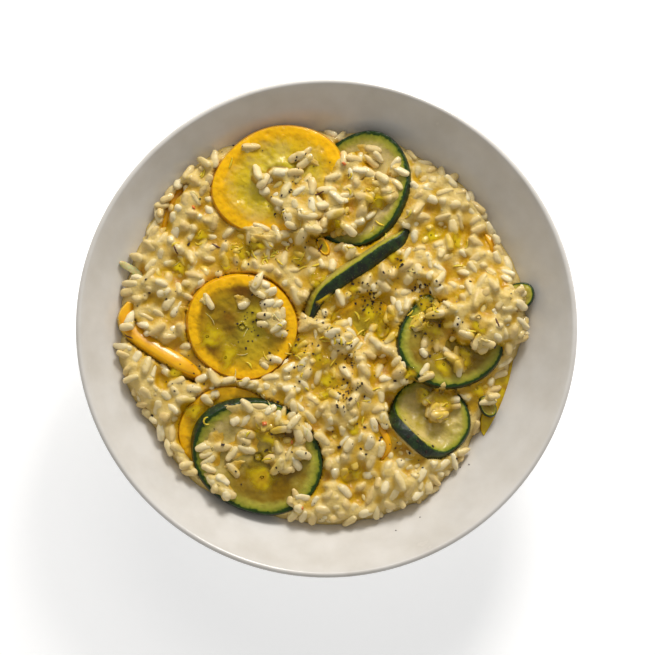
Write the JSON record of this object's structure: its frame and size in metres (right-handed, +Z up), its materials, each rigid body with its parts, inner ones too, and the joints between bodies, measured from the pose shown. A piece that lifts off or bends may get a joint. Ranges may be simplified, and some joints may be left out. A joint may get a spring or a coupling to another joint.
{
  "type": "bowl of risotto",
  "caption": "Risotto with slices of yellow squash and green zucchini, olive oil, lemon zest and black pepper, in a shallow off-white pasta bowl.",
  "frame": {"origin": "middle of the bowl's foot ring, on the surface it stands on", "axes": "+Z up out of the bowl; +Y towards the far side of the bowl as the picture shows it, +X to the right"},
  "size_m": [0.2158, 0.2158, 0.053],
  "materials": {
    "glazed_stoneware": "off-white satin glaze",
    "cooked_rice": "moist cream-coloured cooked rice in a thin glossy sauce",
    "yellow_squash": "cooked yellow squash, oily cut face and bright yellow peel",
    "zucchini": "cooked zucchini, pale oily cut face and dark green peel",
    "olive_oil": "clear olive-green oil",
    "onion": "pale translucent cooked onion"
  },
  "bodies": {
    "root": {"bowl": "glazed_stoneware", "risotto": "cooked_rice", "yellow_slice_1": "yellow_squash", "yellow_slice_2": "yellow_squash", "yellow_slice_3": "yellow_squash", "yellow_slice_4": "yellow_squash", "yellow_slice_5": "yellow_squash", "yellow_slice_6": "yellow_squash", "yellow_slice_7": "yellow_squash", "yellow_slice_8": "yellow_squash", "yellow_slice_9": "yellow_squash", "green_slice_1": "zucchini", "green_slice_2": "zucchini", "green_slice_3": "zucchini", "green_slice_4": "zucchini", "green_slice_5": "zucchini", "green_slice_6": "zucchini", "green_slice_7": "zucchini", "rice_on_yellow_1": "cooked_rice", "rice_on_yellow_2": "cooked_rice", "rice_on_green_1": "cooked_rice", "rice_on_green_2": "cooked_rice", "rice_at_green_1": "cooked_rice", "oil_puddle": "olive_oil", "onion_sliver": "onion"}
  },
  "joints": []
}
